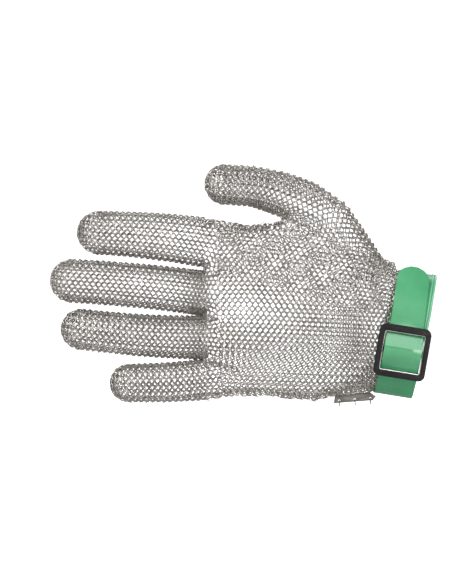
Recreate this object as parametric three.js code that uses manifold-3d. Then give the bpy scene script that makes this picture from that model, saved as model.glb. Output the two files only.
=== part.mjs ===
// A five-finger cut-resistant glove of woven steel rings for the left hand, with a wrist strap, a slide buckle and
// an edge strip. The woven rings are shown here as the closed wall that they make: one hollow tube for each finger
// and a hollow hand with a thumb base, all open inside, so that a hand can go in at the cuff.
// X runs from the fingertips to the forearm, Z to the thumb side, and the back of the hand faces -Y.
// The origin lies in the wrist at the middle of the strap's width, cuffToLittleSide from the cuff's middle line.
// All sizes are in millimetres and degrees.
import * as THREE from "three";
import { mergeVertices } from "three/addons/utils/BufferGeometryUtils.js";
import Module from "manifold-3d";

const wasm = await Module();
wasm.setup();

// Sizes of the woven wall and the cuff
const mailThickness = 2;
const pieceGap = 0.3;
const forearmTilt = 9.2;
const cuffBreadth = 65.4;
const cuffToLittleSide = 1;
const cuffDepth = 49;
const cuffRoundness = 2.2;
const cuffBeforeStrap = 12;
const cuffStraightBeforeStrap = 9.7;
const cuffPastStrap = 5;

// Sizes of the hand between the knuckles and the strap
const palmLength = 109.5;
const knuckleDepth = 25;
const knuckleRoundness = 3.4;
const palmDepth = 34;
const palmRoundness = 2.6;
const webDepth = 13;
const crotchThickness = 2.6;
const littleSideHeight = -36.8;

const middleFingerLength = 85;
const middleFingerBreadth = 23.6;

// One row for each finger, from the little finger up. Long and broad are shares of the middle finger's length and
// root breadth. Tip and deep are shares of the finger's own root breadth, and gapAbove, the space before the next
// finger, is a share of the middle finger's. Lean turns a finger to the thumb side, and curl to the palm, in degrees.
const fingers = [
  { name: "little", long: 0.61, broad: 0.915, tip: 0.9, deep: 0.945, gapAbove: 0.03, rootLean: -6, tipLean: 1, curl: 12 },
  { name: "ring", long: 0.93, broad: 0.975, tip: 0.905, deep: 0.94, gapAbove: 0.038, rootLean: 0, tipLean: 8, curl: 9 },
  { name: "middle", long: 1, broad: 1, tip: 0.96, deep: 0.95, gapAbove: 0.127, rootLean: 8, tipLean: 2.5, curl: 7 },
  { name: "index", long: 0.824, broad: 1.12, tip: 0.835, deep: 0.87, gapAbove: 0, rootLean: 9, tipLean: 1, curl: 8 },
];

// Sizes of the thumb, which starts inside the hand and leaves it at the web
const thumbBaseLength = 75;
const thumbFreeLength = 43.3;
const thumbBaseBreadth = 27.6;
const thumbTipBreadth = 21;
const thumbDepth = 23;
const thumbRootFromStrap = 16.8;
const thumbRootHeight = 22.4;
const thumbRootToPalm = 2;
const thumbCurl = 4;

// Sizes of the strap
const strapWidth = 21.4;
const strapThickness = 1.5;
const tailEndAngle = 67;
const tailLiftAngle = 44;
const tailEndLift = 4.4;
const tailRounding = 8.5;

// Sizes of the slide buckle
const buckleBreadth = 28.2;
const buckleLength = 28.8;
const buckleThickness = 2.2;
const buckleBar = 3.9;
const buckleSideBar = 3.3;
const buckleCornerRadius = 3.6;
const windowCornerRadius = 0.9;
const centreBarWidth = 3.5;
const centreBarThickness = 1.6;
const buckleToLittleSide = 10;
const buckleToHand = 0.8;

// Sizes of the edge strip and of the rings that hang in its lower edge
const stripLength = 23.5;
const stripHeight = 4.6;
const stripThickness = 0.9;
const stripEndSlant = 3.2;
const stripFromStrap = 27.3;
const stripTurn = 4.5;
const stripHoleDiameter = 1.1;
const stripHoleFromEdge = 1.3;
const stripRingDiameter = 4;
const stripRingWire = 0.7;
const stripRings = 3;

// Facets
const fingerSides = 18;
const palmSides = 52;
const wireSides = 6;

const radians = THREE.MathUtils.degToRad;
const mix = THREE.MathUtils.lerp;
const vector = (x, y, z) => new THREE.Vector3(x, y, z);

// Directions at the forearm: along it to the elbow, across it to the thumb side, and out of the back of the wrist
const alongForearm = vector(Math.cos(radians(forearmTilt)), 0, -Math.sin(radians(forearmTilt)));
const acrossForearm = vector(Math.sin(radians(forearmTilt)), 0, Math.cos(radians(forearmTilt)));
const outOfBack = vector(0, -1, 0);

// A solid from a geometry of three.js, with the vertices that its faces share made one
function solidOf(geometry) {
  const bare = geometry.clone();
  bare.deleteAttribute("normal");
  bare.deleteAttribute("uv");
  const merged = mergeVertices(bare, 1e-4);
  return new wasm.Manifold(
    new wasm.Mesh({
      numProp: 3,
      vertProperties: new Float32Array(merged.attributes.position.array),
      triVerts: new Uint32Array(merged.index.array),
    }),
  );
}

const middleOf = (ring) => ring.reduce((sum, p) => sum.add(p), vector(0, 0, 0)).divideScalar(ring.length);

// The triangles that fill a flat ring of points, wound the way that the ring runs
function fillOf(ring) {
  const middle = middleOf(ring);
  const side = ring[0].clone().sub(middle).normalize();
  const normal = vector(0, 0, 0);
  ring.forEach((p, i) => {
    const next = ring[(i + 1) % ring.length];
    normal.add(p.clone().sub(middle).cross(next.clone().sub(middle)));
  });
  const up = normal.normalize().cross(side);
  const outline = ring.map((p) => {
    const arm = p.clone().sub(middle);
    return new THREE.Vector2(arm.dot(side), arm.dot(up));
  });
  const triangles = THREE.ShapeUtils.triangulateShape(outline, []);
  const areaOf = ([a, b, c]) => THREE.ShapeUtils.area([outline[a], outline[b], outline[c]]);
  const widest = triangles.reduce((best, t) => (Math.abs(areaOf(t)) > Math.abs(areaOf(best)) ? t : best));
  return areaOf(widest) > 0 ? triangles : triangles.map(([a, b, c]) => [a, c, b]);
}

// A closed solid through rings of points, each with as many points as the others. Its ends are flat, or the last one
// runs to a tip.
function loftSolid(rings, tip = null) {
  const count = rings[0].length;
  const points = tip ? [...rings.flat(), tip] : rings.flat();
  const faces = [];
  for (let r = 0; r < rings.length - 1; r++)
    for (let i = 0; i < count; i++) {
      const j = (i + 1) % count;
      const [a, b] = [r * count + i, r * count + j];
      faces.push(a, b, b + count, a, b + count, a + count);
    }
  const end = (rings.length - 1) * count;
  for (const [a, b, c] of fillOf(rings[0])) faces.push(a, c, b);
  if (tip) for (let i = 0; i < count; i++) faces.push(points.length - 1, end + i, end + ((i + 1) % count));
  else for (const [a, b, c] of fillOf(rings[rings.length - 1])) faces.push(end + a, end + b, end + c);
  const build = (triangles) =>
    new wasm.Manifold(
      new wasm.Mesh({
        numProp: 3,
        vertProperties: new Float32Array(points.flatMap((p) => p.toArray())),
        triVerts: new Uint32Array(triangles),
      }),
    );
  const made = build(faces);
  if (made.volume() > 0) return made;
  const turned = [];
  for (let i = 0; i < faces.length; i += 3) turned.push(faces[i], faces[i + 2], faces[i + 1]);
  return build(turned);
}

// All the space on one side of a plane, as a block large enough for this glove
function halfSpace(point, normal) {
  const reach = 4 * (palmLength + thumbBaseLength);
  const block = new THREE.BoxGeometry(reach, reach, reach).translate(0, 0, reach / 2);
  const turn = new THREE.Quaternion().setFromUnitVectors(vector(0, 0, 1), normal.clone().normalize());
  return solidOf(block.applyQuaternion(turn).translate(point.x, point.y, point.z));
}

const groupOfParts = new THREE.Group();

// Adds a solid to the glove as a named mesh, placed by a matrix where the solid has a frame of its own
function addPart(name, solid, material, placement = new THREE.Matrix4()) {
  const { vertProperties, triVerts } = solid.getMesh();
  const geometry = new THREE.BufferGeometry();
  geometry.setAttribute("position", new THREE.BufferAttribute(new Float32Array(vertProperties), 3));
  geometry.setIndex(new THREE.BufferAttribute(new Uint32Array(triVerts), 1));
  const mesh = new THREE.Mesh(geometry, material);
  mesh.name = name;
  placement.decompose(mesh.position, mesh.quaternion, mesh.scale);
  groupOfParts.add(mesh);
}

const steelMail = new THREE.MeshStandardMaterial({ color: 0xa39a92, roughness: 0.35, metalness: 0.9, flatShading: true });
const brushedSteel = new THREE.MeshStandardMaterial({ color: 0x8c857d, roughness: 0.4, metalness: 0.9, flatShading: true });
const greenPlastic = new THREE.MeshStandardMaterial({ color: 0x52a678, roughness: 0.35, metalness: 0, flatShading: true });
const blackEnamel = new THREE.MeshStandardMaterial({ color: 0x2c2a2a, roughness: 0.5, metalness: 0.2, flatShading: true });

// Fingers and thumb

// The line that a finger follows from its root, as a function from the distance along it to a frame. The turns are
// rows of a share of the length with the lean and curl there. Behind the root the line runs on straight.
function bonePath(root, turns, length) {
  const step = length / 60;
  const turnAt = (share) => {
    const after = turns.findIndex((turn) => turn.share >= share);
    if (after <= 0) return turns[after < 0 ? turns.length - 1 : 0];
    const [low, high] = [turns[after - 1], turns[after]];
    const part = (share - low.share) / (high.share - low.share);
    return { lean: mix(low.lean, high.lean, part), curl: mix(low.curl, high.curl, part) };
  };
  const frameFor = (point, { lean, curl }) => {
    const [l, c] = [radians(lean), radians(curl)];
    return {
      point,
      along: vector(-Math.cos(l) * Math.cos(c), Math.sin(c), Math.sin(l) * Math.cos(c)),
      across: vector(Math.sin(l), 0, Math.cos(l)),
      out: vector(-Math.sin(c) * Math.cos(l), -Math.cos(c), Math.sin(c) * Math.sin(l)),
    };
  };
  const frames = [frameFor(root.clone(), turnAt(0))];
  for (let i = 1; i <= 60; i++) {
    const before = frames[i - 1];
    frames.push(frameFor(before.point.clone().addScaledVector(before.along, step), turnAt((i - 0.5) / 60)));
  }
  return (distance) => {
    const index = THREE.MathUtils.clamp(Math.floor(distance / step), 0, 59);
    const frame = frames[index];
    return { ...frame, point: frame.point.clone().addScaledVector(frame.along, distance - index * step) };
  };
}

// A round-ended tube round a bone path. The inset takes the wall's thickness off all round for the hollow inside.
function fingerSolid(path, length, from, halfBreadth, halfDepth, inset) {
  const tipRadius = halfBreadth(length);
  const domeStart = length - tipRadius;
  const straightSteps = 7;
  const domeAngles = [22, 42, 60, 76].map(radians);
  const stations = [];
  for (let i = 0; i <= straightSteps; i++)
    stations.push({ at: mix(from, domeStart, i / straightSteps), narrowing: 1 });
  for (const angle of domeAngles)
    stations.push({ at: domeStart + (tipRadius - inset) * Math.sin(angle), narrowing: Math.cos(angle) });
  const rings = stations.map(({ at, narrowing }) => {
    const frame = path(at);
    const [breadth, depth] = [halfBreadth(at) - inset, halfDepth(at) - inset];
    return Array.from({ length: fingerSides }, (_, i) => {
      const angle = (2 * Math.PI * i) / fingerSides;
      return frame.point
        .clone()
        .addScaledVector(frame.across, breadth * narrowing * Math.cos(angle))
        .addScaledVector(frame.out, depth * narrowing * Math.sin(angle));
    });
  });
  return loftSolid(rings, path(length - inset).point);
}

const knuckleX = -palmLength;
const insideCap = 4 * mailThickness;
let heightSoFar = littleSideHeight;
const crotchHeights = [];
const fingerForms = fingers.map((finger) => {
  const length = finger.long * middleFingerLength;
  const rootBreadth = finger.broad * middleFingerBreadth;
  const gapAbove = finger.gapAbove * middleFingerBreadth;
  const rootHeight = heightSoFar + rootBreadth / 2;
  heightSoFar += rootBreadth + gapAbove;
  crotchHeights.push(heightSoFar - gapAbove / 2);
  const turns = [
    { share: 0, lean: finger.rootLean, curl: 0 },
    { share: 0.5, lean: mix(finger.rootLean, finger.tipLean, 0.6), curl: finger.curl * 0.5 },
    { share: 1, lean: finger.tipLean, curl: finger.curl },
  ];
  const path = bonePath(vector(knuckleX, 0, rootHeight), turns, length);
  const narrowing = (at) => mix(1, finger.tip, THREE.MathUtils.clamp(at / length, 0, 1));
  const halfBreadth = (at) => (rootBreadth / 2) * narrowing(at);
  const halfDepth = (at) => finger.deep * halfBreadth(at);
  const form = (inset) => fingerSolid(path, length, -insideCap, halfBreadth, halfDepth, inset);
  return { name: finger.name, outer: form(0), inner: form(mailThickness) };
});
const knuckleTop = heightSoFar;
crotchHeights.pop();

const fingerSide = halfSpace(vector(knuckleX - pieceGap, 0, 0), vector(-1, 0, 0));
for (const { name, outer, inner } of fingerForms)
  addPart(`mail_${name}_finger`, outer.subtract(inner).intersect(fingerSide), steelMail);

// The thumb's turns, from its root near the wrist to its tip
const thumbLength = thumbBaseLength + thumbFreeLength;
const thumbTurns = [
  { share: 0, lean: 57, curl: 2 },
  { share: 0.35, lean: 57, curl: 2 },
  { share: 0.47, lean: 28, curl: thumbCurl },
  { share: 0.64, lean: 22, curl: thumbCurl },
  { share: 0.78, lean: 5, curl: thumbCurl },
  { share: 1, lean: 0, curl: 2 * thumbCurl },
];
const thumbRoot = vector(-thumbRootFromStrap, thumbRootToPalm, thumbRootHeight);
const thumbPath = bonePath(thumbRoot, thumbTurns, thumbLength);
const thumbNarrowing = (at) => THREE.MathUtils.smoothstep(at, 0.35 * thumbLength, 0.85 * thumbLength);
const thumbHalfBreadth = (at) => mix(thumbBaseBreadth, thumbTipBreadth, thumbNarrowing(at)) / 2;
const thumbHalfDepth = (at) => (thumbDepth / thumbTipBreadth) * thumbHalfBreadth(at);
const thumbForm = (inset) => fingerSolid(thumbPath, thumbLength, 0, thumbHalfBreadth, thumbHalfDepth, inset);
const thumbOuter = thumbForm(0);
const thumbInner = thumbForm(mailThickness);
const thumbJoint = thumbPath(thumbBaseLength);
const thumbTipSide = halfSpace(
  thumbJoint.point.clone().addScaledVector(thumbJoint.along, pieceGap),
  thumbJoint.along,
);
addPart("mail_thumb", thumbOuter.subtract(thumbInner).intersect(thumbTipSide), steelMail);

// Hand

// One row for each section of the hand, from the knuckles to the cuff. Share is of the way between them, and toCuff
// says how far the section has turned and changed from the knuckles' size to the cuff's. Thumb side and little side
// are what the section stands out past that, as shares of the knuckles' breadth. Deep is the share of the way from
// the knuckles' depth to the palm's, and scallop is how much of the valleys between the knuckles is left.
const handSections = [
  { share: 0.0, toCuff: 0.0, thumbSide: -0.01, littleSide: -0.005, deep: 0.0, scallop: 1.0 },
  { share: 0.05, toCuff: 0.0, thumbSide: -0.015, littleSide: -0.01, deep: 0.25, scallop: 0.8 },
  { share: 0.12, toCuff: 0.03, thumbSide: -0.02, littleSide: -0.02, deep: 0.5, scallop: 0.5 },
  { share: 0.23, toCuff: 0.08, thumbSide: -0.025, littleSide: -0.022, deep: 0.75, scallop: 0.2 },
  { share: 0.31, toCuff: 0.12, thumbSide: -0.005, littleSide: -0.02, deep: 0.9, scallop: 0.05 },
  { share: 0.38, toCuff: 0.16, thumbSide: 0.012, littleSide: -0.015, deep: 0.95, scallop: 0.0 },
  { share: 0.42, toCuff: 0.2, thumbSide: 0.05, littleSide: -0.008, deep: 1.0, scallop: 0.0 },
  { share: 0.46, toCuff: 0.24, thumbSide: 0.12, littleSide: 0.0, deep: 1.08, scallop: 0.0 },
  { share: 0.54, toCuff: 0.34, thumbSide: 0.13, littleSide: 0.01, deep: 1.16, scallop: 0.0 },
  { share: 0.65, toCuff: 0.49, thumbSide: 0.12, littleSide: 0.024, deep: 1.2, scallop: 0.0 },
  { share: 0.76, toCuff: 0.68, thumbSide: 0.085, littleSide: 0.012, deep: 1.15, scallop: 0.0 },
  { share: 0.88, toCuff: 0.87, thumbSide: 0.06, littleSide: 0.006, deep: 1.05, scallop: 0.0 },
  { share: 1.0, toCuff: 1.0, thumbSide: 0.035, littleSide: 0.0, deep: 1.0, scallop: 0.0 },
];
const knuckleBreadth = knuckleTop - littleSideHeight;
const scallopWidth = 0.06 * knuckleBreadth;
const scallopDepth = (knuckleDepth - webDepth) / 2;

// Spaces the points of a closed outline evenly along it
function spacedEvenly(outline, count) {
  const closed = [...outline, outline[0]];
  const lengths = [0];
  for (let i = 1; i < closed.length; i++) lengths.push(lengths[i - 1] + closed[i].distanceTo(closed[i - 1]));
  const total = lengths[lengths.length - 1];
  let segment = 0;
  return Array.from({ length: count }, (_, i) => {
    const target = (total * i) / count;
    while (lengths[segment + 1] < target) segment++;
    const part = (target - lengths[segment]) / (lengths[segment + 1] - lengths[segment]);
    return closed[segment].clone().lerp(closed[segment + 1], part);
  });
}

// The height and depth of a rounded outline at an angle from its thumb side, for half sizes of one
function roundedOutline(angle, roundness) {
  const [c, s] = [Math.cos(angle), Math.sin(angle)];
  const power = 2 / roundness;
  return [Math.sign(c) * Math.abs(c) ** power, Math.sign(s) * Math.abs(s) ** power];
}

// One section of the hand as a ring of points. The inset takes the wall's thickness off all round.
function handRing(section, inset, moveAlong = 0) {
  const { share, toCuff, deep, scallop } = section;
  const tilt = radians(forearmTilt) * toCuff;
  const across = vector(Math.sin(tilt), 0, Math.cos(tilt));
  const [cuffTop, cuffBottom] = [cuffBreadth / 2 - cuffToLittleSide, -cuffBreadth / 2 - cuffToLittleSide];
  const top = mix(knuckleTop, cuffTop, toCuff) + section.thumbSide * knuckleBreadth - inset;
  const bottom = mix(littleSideHeight, cuffBottom, toCuff) - section.littleSide * knuckleBreadth + inset;
  const fullDepth = mix(knuckleDepth, palmDepth, deep);
  const halfDepth = mix(fullDepth, cuffDepth, toCuff ** 2) / 2 - inset;
  const roundness = mix(mix(knuckleRoundness, palmRoundness, Math.min(1, deep)), cuffRoundness, toCuff);
  const cuffStart = alongForearm.clone().multiplyScalar(-cuffBeforeStrap);
  const centre = vector(mix(knuckleX, cuffStart.x, share), 0, cuffStart.z * toCuff);
  centre.addScaledVector(alongForearm, moveAlong);
  const outline = Array.from({ length: 360 }, (_, i) => {
    const [height, depth] = roundedOutline((2 * Math.PI * i) / 360, roundness);
    const z = (top + bottom) / 2 + (height * (top - bottom)) / 2;
    const valley = crotchHeights.reduce((sum, at) => sum + Math.exp(-(((z - at) / scallopWidth) ** 2)), 0);
    const reach = depth * (halfDepth - scallop * scallopDepth * valley);
    return centre.clone().addScaledVector(across, z).addScaledVector(outOfBack, reach);
  });
  return spacedEvenly(outline, palmSides);
}

// The rings of the whole hand, with two more: the cuff is straight under the strap and ends past its middle
function handRings(inset) {
  const rings = handSections.map((section) => handRing(section, inset));
  const straight = { ...handSections[handSections.length - 1], thumbSide: 0 };
  rings.push(handRing(straight, inset, cuffBeforeStrap - cuffStraightBeforeStrap));
  rings.push(handRing(straight, inset, cuffBeforeStrap + cuffPastStrap + 2 * inset));
  if (inset) for (const point of rings[0]) point.x += crotchThickness;
  return rings;
}

const handSolid = (inset) => loftSolid(handRings(inset));

const thumbBaseSide = halfSpace(thumbJoint.point, thumbJoint.along.clone().negate());
let handWall = handSolid(0).add(thumbOuter.intersect(thumbBaseSide));
handWall = handWall.subtract(handSolid(mailThickness)).subtract(thumbInner);
const knuckleSide = halfSpace(vector(knuckleX - insideCap, 0, 0), vector(1, 0, 0));
for (const { inner } of fingerForms) handWall = handWall.subtract(inner.intersect(knuckleSide));
addPart("mail_hand", handWall, steelMail);

// Strap

// A point of the cuff's outside and the way out of it there, in the plane across the forearm. Angles run from the
// back of the wrist over the thumb side, the palm side and the little side.
function cuffPoint(degrees) {
  const place = (angle) => {
    const [back, thumb] = roundedOutline(angle, cuffRoundness);
    return new THREE.Vector2((thumb * cuffBreadth) / 2 - cuffToLittleSide, (back * cuffDepth) / 2);
  };
  const angle = radians(degrees);
  const ahead = place(angle + 1e-3).sub(place(angle - 1e-3)).normalize();
  return { point: place(angle), ahead, out: new THREE.Vector2(-ahead.y, ahead.x) };
}

// Finds the angle on the cuff that lies at a height on the back of the wrist
function backAngleAtHeight(height) {
  let [low, high] = [-89, 89];
  for (let i = 0; i < 40; i++) {
    const middle = (low + high) / 2;
    if (cuffPoint(middle).point.x < height) low = middle;
    else high = middle;
  }
  return (low + high) / 2;
}

const halfStrap = strapThickness / 2;
const firstLayer = pieceGap + halfStrap;
const secondLayer = firstLayer + pieceGap + strapThickness;
const onCuff = (degrees, offset) => {
  const { point, out } = cuffPoint(degrees);
  return point.clone().addScaledVector(out, offset);
};

// The buckle's own frame on the back of the wrist: a is towards the thumb side, b is out of the wrist
const buckleAngle = backAngleAtHeight(-buckleToLittleSide);
const buckleSeat = cuffPoint(buckleAngle);
const atBuckle = (a, b) =>
  buckleSeat.point.clone().addScaledVector(buckleSeat.ahead, a).addScaledVector(buckleSeat.out, b);
const centreBarLow = 2 * pieceGap + strapThickness;
const centreBarTop = centreBarLow + centreBarThickness;
const frameLow = secondLayer + halfStrap + 2 * pieceGap;
const foldRadius = centreBarThickness / 2 + pieceGap + halfStrap;
const foldMiddle = centreBarLow + centreBarThickness / 2;
const foldTop = centreBarTop + pieceGap + halfStrap;
const crest = foldTop + pieceGap + strapThickness;
const barMiddle = buckleLength / 2 - buckleBar / 2;

// The strap's middle line: it starts folded round the centre bar, goes once round the wrist, comes up through the
// buckle over the centre bar, and lies on itself as far as its rounded end.
const foldStart = -centreBarWidth / 2;
const foldTurn = [-90, -45, 0, 45, 90].map((degrees) => {
  const angle = radians(degrees);
  return atBuckle(foldStart - foldRadius * Math.cos(angle), foldMiddle + foldRadius * Math.sin(angle));
});
const angleAt = (a) => backAngleAtHeight(atBuckle(a, 0).x);
const firstTurn = [];
const turnStart = angleAt(buckleLength / 2 - 1);
const turnEnd = 360 + angleAt(-buckleLength / 2 - 7);
const turnSteps = 44;
for (let i = 0; i <= turnSteps; i++) firstTurn.push(onCuff(mix(turnStart, turnEnd, i / turnSteps), firstLayer));
const crestHalf = foldRadius + halfStrap + pieceGap;
const throughBuckle = [
  atBuckle(-barMiddle - 1, 0.5 * (firstLayer + frameLow - pieceGap - halfStrap) - 0.3),
  atBuckle(-barMiddle * 0.72, frameLow - 0.35 * strapThickness),
  atBuckle(foldStart - crestHalf * 0.62, crest - 0.28 * strapThickness),
  atBuckle(foldStart + pieceGap, crest + 0.5 * pieceGap),
  atBuckle(centreBarWidth / 2, crest),
  atBuckle(barMiddle * 0.5, mix(crest, secondLayer, 0.42)),
  atBuckle(barMiddle * 0.85, secondLayer + 0.2),
];
const secondTurn = [];
const tailStart = angleAt(buckleLength / 2 + 1.5);
const tailSteps = 12;
for (let i = 0; i <= tailSteps; i++) {
  const angle = mix(tailStart, tailEndAngle, i / tailSteps);
  const lift = tailEndLift * Math.max(0, (angle - tailLiftAngle) / (tailEndAngle - tailLiftAngle)) ** 2;
  secondTurn.push(onCuff(angle, secondLayer + lift));
}
const fold = [
  atBuckle(centreBarWidth, firstLayer + 0.1),
  ...foldTurn,
  atBuckle(centreBarWidth / 2, foldTop),
  atBuckle(barMiddle * 0.5, mix(foldTop, firstLayer, 0.52)),
];
const strapLine = new THREE.SplineCurve([
  ...fold,
  ...firstTurn,
  ...throughBuckle,
  ...secondTurn,
]);

// Shares of a line's length that lie closer together where the line bends
function closerAtBends(line, steps) {
  const samples = 12 * steps;
  const bendLength = 1.5 * strapThickness;
  const sampleLength = line.getLength() / samples;
  const gone = [0];
  for (let i = 1; i <= samples; i++) {
    const turn = line.getTangentAt(i / samples).angleTo(line.getTangentAt((i - 1) / samples));
    gone.push(gone[i - 1] + sampleLength + bendLength * turn);
  }
  let sample = 0;
  return Array.from({ length: steps + 1 }, (_, i) => {
    const target = (gone[samples] * i) / steps;
    while (sample < samples && gone[sample] < target) sample++;
    return sample / samples;
  });
}

// A band of even thickness along a line in the plane across the forearm. Its two edges are distances along the
// forearm, given by a function of the length from the start and the length left.
function bandSolid(line, steps, edgesAt) {
  const total = line.getLength();
  const rings = [];
  for (const share of closerAtBends(line, steps)) {
    const point = line.getPointAt(share);
    const ahead = line.getTangentAt(share);
    const out = new THREE.Vector2(-ahead.y, ahead.x);
    const [low, high] = edgesAt(share * total, (1 - share) * total);
    const corners = [
      [low, -halfStrap],
      [high, -halfStrap],
      [high, halfStrap],
      [low, halfStrap],
    ];
    rings.push(
      corners.map(([along, thick]) =>
        vector(0, 0, 0)
          .addScaledVector(acrossForearm, point.x + out.x * thick)
          .addScaledVector(outOfBack, point.y + out.y * thick)
          .addScaledVector(alongForearm, along),
      ),
    );
  }
  return loftSolid(rings);
}

// Where the strap's edges run, as shares of its width from its middle, at points of its line. It winds a little
// towards the hand at the little side, is drawn in where it goes through the buckle, and ends in a narrower tail.
const [turnFrom, turnTo] = [fold.length, fold.length + turnSteps];
const tailFrom = turnTo + throughBuckle.length;
const strapEdges = [
  { point: 0, low: -0.49, high: 0.42 },
  { point: turnFrom - 2, low: -0.49, high: 0.42 },
  { point: turnFrom, low: -0.47, high: 0.525 },
  { point: turnFrom + 3, low: -0.43, high: 0.545 },
  { point: turnFrom + 12, low: -0.36, high: 0.585 },
  { point: turnTo - 12, low: -0.525, high: 0.457 },
  { point: turnTo, low: -0.525, high: 0.457 },
  { point: turnTo + 2, low: -0.515, high: 0.453 },
  { point: tailFrom - 1, low: -0.515, high: 0.453 },
  { point: tailFrom + 1, low: -0.45, high: 0.4 },
  { point: tailFrom + tailSteps + 1, low: -0.45, high: 0.378 },
];
const pointSteps = 8;
const lengthsGone = strapLine.getLengths((strapLine.points.length - 1) * pointSteps);
const goneAt = ({ point }) => lengthsGone[Math.min(point * pointSteps, lengthsGone.length - 1)];
const endNarrowing = (left) => Math.sqrt(Math.max(0.06, 1 - Math.max(0, 1 - left / tailRounding) ** 2.4));
const strap = bandSolid(strapLine, 190, (gone, left) => {
  const after = Math.max(1, strapEdges.findIndex((edge) => goneAt(edge) >= gone - 1e-6));
  const [one, other] = [strapEdges[after - 1], strapEdges[after]];
  const part = THREE.MathUtils.smoothstep(gone, goneAt(one), goneAt(other));
  const [low, high] = [mix(one.low, other.low, part) * strapWidth, mix(one.high, other.high, part) * strapWidth];
  const reach = ((high - low) / 2) * endNarrowing(left);
  return [(low + high) / 2 - reach, (low + high) / 2 + reach];
});
addPart("wrist_strap", strap, greenPlastic);

// Buckle

// A rectangle with round corners, centred on its frame's origin
function roundedRectangle(breadth, length, radius, path = new THREE.Shape()) {
  const [x, y] = [breadth / 2 - radius, length / 2 - radius];
  path.absarc(x, y, radius, 0, Math.PI / 2);
  path.absarc(-x, y, radius, Math.PI / 2, Math.PI);
  path.absarc(-x, -y, radius, Math.PI, 1.5 * Math.PI);
  path.absarc(x, -y, radius, 1.5 * Math.PI, 2 * Math.PI);
  path.closePath();
  return path;
}

const frameShape = roundedRectangle(buckleBreadth, buckleLength, buckleCornerRadius);
const windowBreadth = buckleBreadth - 2 * buckleSideBar;
const windowLength = buckleLength - 2 * buckleBar;
frameShape.holes.push(roundedRectangle(windowBreadth, windowLength, windowCornerRadius, new THREE.Path()));
const frameGeometry = new THREE.ExtrudeGeometry(frameShape, {
  depth: buckleThickness,
  bevelEnabled: false,
  curveSegments: 5,
});
const barReach = windowBreadth + buckleSideBar;
const earHeight = frameLow + buckleThickness / 2 - centreBarLow;
const ear = (side) =>
  new THREE.BoxGeometry(buckleSideBar / 2, centreBarWidth, earHeight).translate(
    side * (windowBreadth / 2 + buckleSideBar / 4),
    0,
    earHeight / 2 + centreBarLow - frameLow,
  );
const centreBar = new THREE.BoxGeometry(barReach, centreBarWidth, centreBarThickness).translate(
  0,
  0,
  centreBarLow + centreBarThickness / 2 - frameLow,
);
const buckle = solidOf(frameGeometry).add(solidOf(ear(-1))).add(solidOf(ear(1))).add(solidOf(centreBar));
const inSpace = (planar) =>
  vector(0, 0, 0).addScaledVector(acrossForearm, planar.x).addScaledVector(outOfBack, planar.y);
const buckleAhead = inSpace(buckleSeat.ahead);
const buckleOut = inSpace(buckleSeat.out);
const buckleSide = new THREE.Vector3().crossVectors(buckleAhead, buckleOut);
const bucklePlace = new THREE.Matrix4()
  .makeBasis(buckleSide, buckleAhead, buckleOut)
  .setPosition(inSpace(atBuckle(0, frameLow)).addScaledVector(alongForearm, -buckleToHand));
addPart("slide_buckle", buckle, blackEnamel, bucklePlace);

// Edge strip with its rings

// The lowest point of the hand's wall at a distance along X, which carries the strip
function littleSideAt(x) {
  const lowest = handRings(0).map((ring) => ring.reduce((low, point) => (point.z < low.z ? point : low)));
  const after = lowest.findIndex((point) => point.x >= x);
  const [low, high] = [lowest[after - 1], lowest[after]];
  return mix(low.z, high.z, (x - low.x) / (high.x - low.x));
}

const stripSeat = [-0.5, 0, 0.5].map((end) => {
  const x = -stripFromStrap + end * stripLength;
  return littleSideAt(x) - Math.tan(radians(stripTurn)) * end * stripLength;
});
const stripTop = Math.min(...stripSeat) - pieceGap;
const stripShape = new THREE.Shape([
  new THREE.Vector2(-stripLength / 2, -stripHeight),
  new THREE.Vector2(stripLength / 2 - 0.6 * stripEndSlant, -stripHeight),
  new THREE.Vector2(stripLength / 2, -stripHeight * 0.55),
  new THREE.Vector2(stripLength / 2 - stripEndSlant, 0),
  new THREE.Vector2(-stripLength / 2 + 0.3 * stripEndSlant, 0),
]);
const ringSpacing = (stripLength - 2 * stripEndSlant) / (stripRings - 1);
const ringPlaces = Array.from({ length: stripRings }, (_, i) => (i - (stripRings - 1) / 2) * ringSpacing);
for (const along of ringPlaces) {
  const hole = new THREE.Path();
  hole.absarc(along, stripHoleFromEdge - stripHeight, stripHoleDiameter / 2, 0, 2 * Math.PI);
  stripShape.holes.push(hole);
}
const stripGeometry = new THREE.ExtrudeGeometry(stripShape, {
  depth: stripThickness,
  bevelEnabled: false,
  curveSegments: 6,
}).translate(0, 0, -stripThickness / 2);
const stripPlace = new THREE.Matrix4()
  .makeTranslation(-stripFromStrap, 0, stripTop)
  .multiply(new THREE.Matrix4().makeRotationY(-radians(stripTurn)))
  .multiply(new THREE.Matrix4().makeRotationX(Math.PI / 2));
addPart("edge_strip", solidOf(stripGeometry), brushedSteel, stripPlace);

const ringRadius = (stripRingDiameter - stripRingWire) / 2;
ringPlaces.forEach((along, i) => {
  const wire = new THREE.TorusGeometry(ringRadius, stripRingWire / 2, wireSides, 14);
  const hang = stripHoleFromEdge - stripHeight - ringRadius;
  const ringPlace = stripPlace
    .clone()
    .multiply(new THREE.Matrix4().makeTranslation(along, hang, 0))
    .multiply(new THREE.Matrix4().makeRotationY(Math.PI / 2));
  addPart(`strip_ring_${i + 1}`, solidOf(wire), steelMail, ringPlace);
});

export default groupOfParts;
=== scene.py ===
import itertools
import math
from bisect import bisect_right

import bmesh
import bpy
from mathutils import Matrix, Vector
from mathutils.bvhtree import BVHTree


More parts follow.
